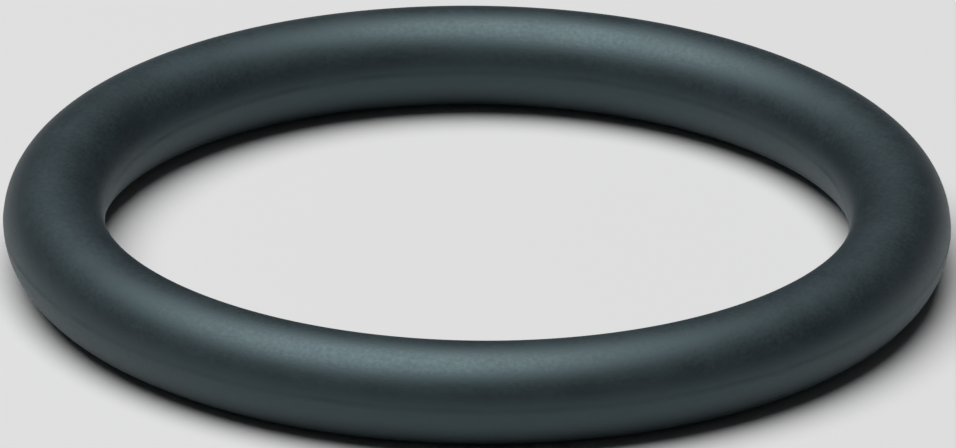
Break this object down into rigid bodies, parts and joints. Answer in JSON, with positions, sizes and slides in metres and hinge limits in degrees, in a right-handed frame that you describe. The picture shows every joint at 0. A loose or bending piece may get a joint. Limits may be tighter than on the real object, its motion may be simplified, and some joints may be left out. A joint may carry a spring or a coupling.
{
  "type": "rubber o-ring",
  "caption": "Round-section rubber sealing ring with a faint moulded parting line, for a groove round a shaft, in a bore or in a flange face.",
  "frame": {"origin": "centre of the ring, in the plane where the two halves of its mould meet", "axes": "+Z along the ring's axis; X and Y lie in the plane of the ring, which is the same all round"},
  "size_m": [0.028, 0.028, 0.003],
  "materials": {
    "rubber": "matte"
  },
  "bodies": {
    "root": {"o_ring": "rubber"}
  },
  "joints": []
}
